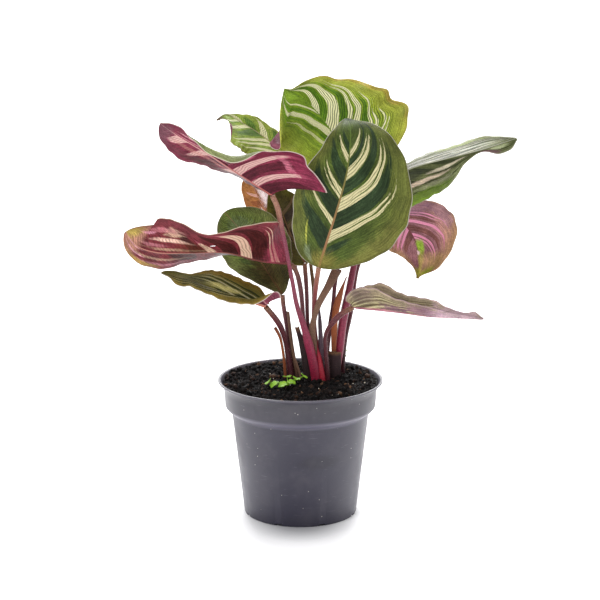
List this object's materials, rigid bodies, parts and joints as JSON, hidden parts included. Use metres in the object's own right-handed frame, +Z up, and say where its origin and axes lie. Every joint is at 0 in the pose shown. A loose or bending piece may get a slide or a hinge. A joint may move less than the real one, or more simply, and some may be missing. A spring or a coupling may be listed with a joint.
{
  "type": "potted calathea",
  "caption": "House plant with broad striped leaves on slender stalks, some showing purple undersides, in a small tapered nursery pot of dark soil.",
  "frame": {"origin": "centre of the pot's underside, in the plane that it stands on", "axes": "+Z up along the pot's axis; -Y towards the viewer of the picture, the side that the large striped leaf faces; +X to that viewer's right"},
  "size_m": [0.2843, 0.1407, 0.3139],
  "materials": {
    "pot_plastic": "satin",
    "peat_soil": "matte",
    "leaf_dark_green": "satin",
    "leaf_bright_green": "satin",
    "leaf_olive": "satin",
    "leaf_maroon": "satin",
    "leaf_copper": "satin",
    "leaf_grey_green": "satin",
    "stalk_pink": "satin",
    "stalk_maroon": "satin",
    "stalk_green": "satin",
    "dried_sheath": "matte",
    "dark_sheath": "matte",
    "spear_leaf": "satin",
    "seedling_green": "satin"
  },
  "bodies": {
    "root": {"pot": "pot_plastic", "soil": "peat_soil", "seedling_front": "seedling_green", "seedling_back": "seedling_green", "petiole_a": "stalk_pink", "petiole_b": "stalk_pink", "petiole_c": "stalk_green", "petiole_d": "stalk_pink", "petiole_e": "stalk_maroon", "petiole_f": "stalk_maroon", "petiole_g": "stalk_maroon", "petiole_h": "stalk_maroon", "petiole_i": "stalk_maroon", "petiole_j": "stalk_maroon", "petiole_k": "stalk_maroon", "petiole_l": "stalk_maroon", "spear_leaf": "spear_leaf", "sheath_brown_leaning": "dried_sheath", "sheath_dark_left": "dark_sheath", "sheath_dark_right": "dark_sheath", "stub_brown_left": "dried_sheath", "stub_orange_left": "dried_sheath", "bract_orange_right": "dried_sheath", "strip_tan_left": "dried_sheath", "blade_a_large_front": "leaf_dark_green", "blade_b_tall_back": "leaf_bright_green", "blade_c_small_back": "leaf_bright_green", "blade_d_purple_upper": "leaf_maroon", "blade_e_purple_middle": "leaf_maroon", "blade_f_boat_lower": "leaf_olive", "blade_g_round_middle": "leaf_dark_green", "blade_h_copper_back": "leaf_copper", "blade_i_olive_back": "leaf_olive", "blade_j_drooping_right": "leaf_dark_green", "blade_k_purple_right": "leaf_maroon", "blade_l_narrow_right": "leaf_grey_green"}
  },
  "joints": []
}
